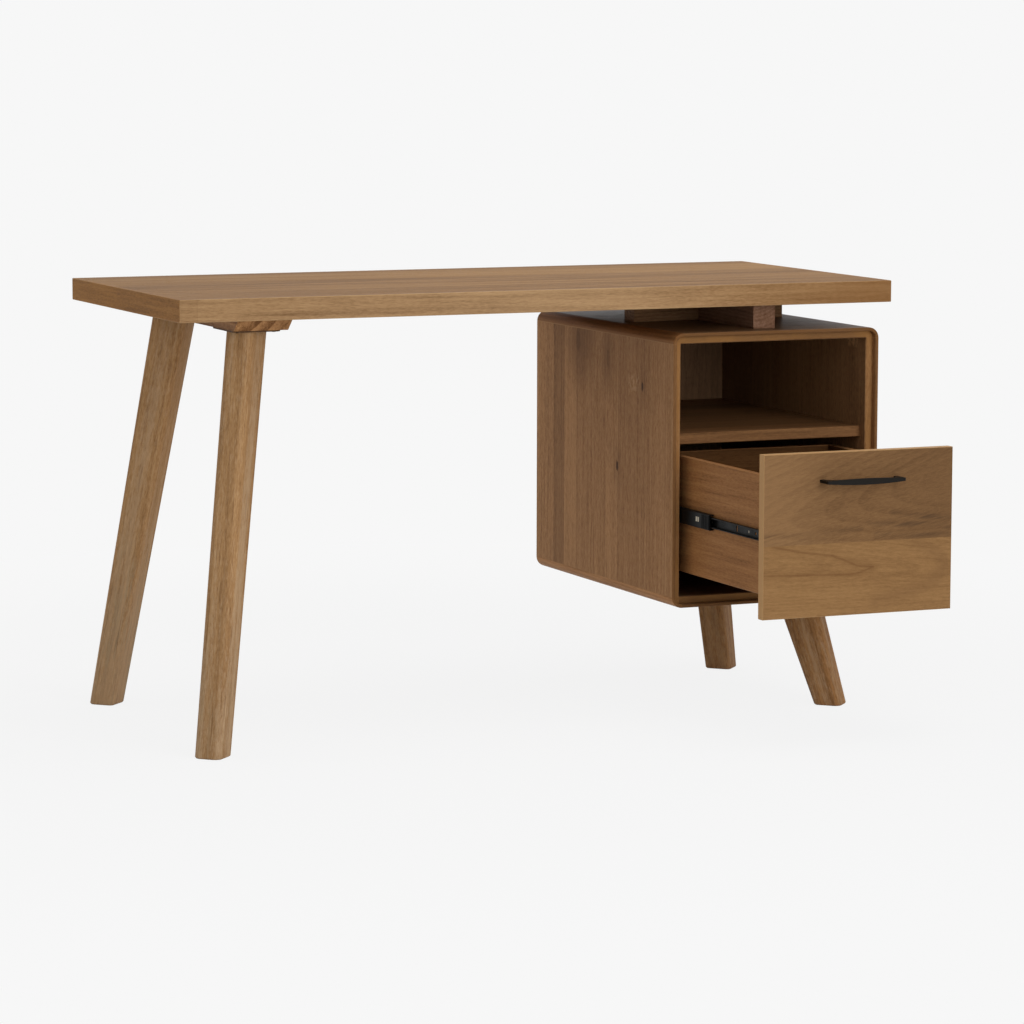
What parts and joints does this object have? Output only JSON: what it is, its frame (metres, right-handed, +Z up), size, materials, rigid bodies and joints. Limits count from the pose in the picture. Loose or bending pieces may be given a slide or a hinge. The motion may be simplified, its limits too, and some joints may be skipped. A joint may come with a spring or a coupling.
{
  "type": "desk",
  "caption": "Wooden writing desk: thick top on splayed legs and a rounded pedestal cabinet with an open cubby above a deep drawer that runs on telescopic slides.",
  "frame": {"origin": "on the floor, under the middle of the desk's bounding box with the drawer open as in the picture", "axes": "+X toward the pedestal cabinet, on the right of a person sitting at the desk; +Y toward the back; +Z up"},
  "size_m": [1.32, 0.9427, 0.762],
  "materials": {
    "top_veneer": "satin veneer, grain along the length",
    "top_lipping": "satin veneer edge band",
    "leg_wood": "oiled solid wood",
    "rail_wood": "oiled solid wood",
    "cabinet_veneer": "satin veneer",
    "cabinet_post": "satin solid wood",
    "back_board": "satin veneer on thin board",
    "drawer_front_wood": "satin solid wood",
    "drawer_box_wood": "satin solid wood",
    "joinery_wood": "bare wood",
    "black_steel": "satin black coat",
    "pull_metal": "matt black coat",
    "cage_steel": "bright pressed sheet",
    "ball_steel": "polished",
    "screw_steel": "zinc plated",
    "plate_steel": "satin dark coat",
    "cap_plastic": "ribbed"
  },
  "bodies": {
    "desk": {"back_left_leg": "leg_wood", "back_right_leg": "leg_wood", "batten_bolts": "screw_steel", "batten_insert_nuts": "screw_steel", "cabinet_back_panel": "back_board", "cabinet_back_screws": "screw_steel", "cabinet_bottom_left_post": "cabinet_post", "cabinet_bottom_panel": "cabinet_veneer", "cabinet_bottom_right_post": "cabinet_post", "cabinet_left_side": "cabinet_veneer", "cabinet_right_side": "cabinet_veneer", "cabinet_shelf": "cabinet_veneer", "cabinet_tongues": "joinery_wood", "cabinet_top_left_post": "cabinet_post", "cabinet_top_panel": "cabinet_veneer", "cabinet_top_right_post": "cabinet_post", "centre_batten": "rail_wood", "cross_batten": "rail_wood", "desktop_back_lipping": "top_lipping", "desktop_core": "top_veneer", "desktop_front_lipping": "top_lipping", "desktop_left_lipping": "top_lipping", "desktop_right_lipping": "top_lipping", "front_left_leg": "leg_wood", "front_right_leg": "leg_wood", "left_slide_cabinet_member": "black_steel", "leg_hanger_bolts": "screw_steel", "leg_plate_screws": "screw_steel", "leg_plates": "plate_steel", "leg_rail": "rail_wood", "leg_rail_screws": "screw_steel", "right_slide_cabinet_member": "black_steel", "slide_cabinet_screws": "screw_steel"},
    "drawer": {"drawer_back": "drawer_box_wood", "drawer_bottom": "drawer_box_wood", "drawer_dowels": "joinery_wood", "drawer_front_lower_board": "drawer_front_wood", "drawer_front_screws": "screw_steel", "drawer_front_upper_board": "drawer_front_wood", "drawer_inner_front": "drawer_box_wood", "drawer_left_side": "drawer_box_wood", "drawer_pull": "pull_metal", "drawer_pull_screws": "screw_steel", "drawer_right_side": "drawer_box_wood", "left_slide_drawer_member": "black_steel", "right_slide_drawer_member": "black_steel", "slide_drawer_screws": "screw_steel"},
    "left_slide_middle": {"left_slide_end_cap": "cap_plastic", "left_slide_middle_member": "black_steel"},
    "left_slide_outer_cage": {"left_slide_outer_balls": "ball_steel", "left_slide_outer_cage": "cage_steel"},
    "left_slide_inner_cage": {"left_slide_inner_balls": "ball_steel", "left_slide_inner_cage": "cage_steel"},
    "right_slide_middle": {"right_slide_end_cap": "cap_plastic", "right_slide_middle_member": "black_steel"},
    "right_slide_outer_cage": {"right_slide_outer_balls": "ball_steel", "right_slide_outer_cage": "cage_steel"},
    "right_slide_inner_cage": {"right_slide_inner_balls": "ball_steel", "right_slide_inner_cage": "cage_steel"}
  },
  "joints": [
    {"name": "drawer_slide", "type": "slide", "parent": "desk", "child": "drawer", "axis": [0, -1, 0], "range_m": [-0.317, 0.083]},
    {"name": "left_middle_slide", "type": "slide", "parent": "desk", "child": "left_slide_middle", "axis": [0, -1, 0], "range_m": [-0.1585, 0.0415]},
    {"name": "left_outer_cage_slide", "type": "slide", "parent": "desk", "child": "left_slide_outer_cage", "axis": [0, -1, 0], "range_m": [-0.07925, 0.02075]},
    {"name": "left_inner_cage_slide", "type": "slide", "parent": "desk", "child": "left_slide_inner_cage", "axis": [0, -1, 0], "range_m": [-0.23775, 0.06225]},
    {"name": "right_middle_slide", "type": "slide", "parent": "desk", "child": "right_slide_middle", "axis": [0, -1, 0], "range_m": [-0.1585, 0.0415]},
    {"name": "right_outer_cage_slide", "type": "slide", "parent": "desk", "child": "right_slide_outer_cage", "axis": [0, -1, 0], "range_m": [-0.07925, 0.02075]},
    {"name": "right_inner_cage_slide", "type": "slide", "parent": "desk", "child": "right_slide_inner_cage", "axis": [0, -1, 0], "range_m": [-0.23775, 0.06225]}
  ],
  "couplings": [
    {"joint": "left_middle_slide", "follows": "drawer_slide", "ratio": 0.5},
    {"joint": "left_outer_cage_slide", "follows": "drawer_slide", "ratio": 0.25},
    {"joint": "left_inner_cage_slide", "follows": "drawer_slide", "ratio": 0.75},
    {"joint": "right_middle_slide", "follows": "drawer_slide", "ratio": 0.5},
    {"joint": "right_outer_cage_slide", "follows": "drawer_slide", "ratio": 0.25},
    {"joint": "right_inner_cage_slide", "follows": "drawer_slide", "ratio": 0.75}
  ]
}
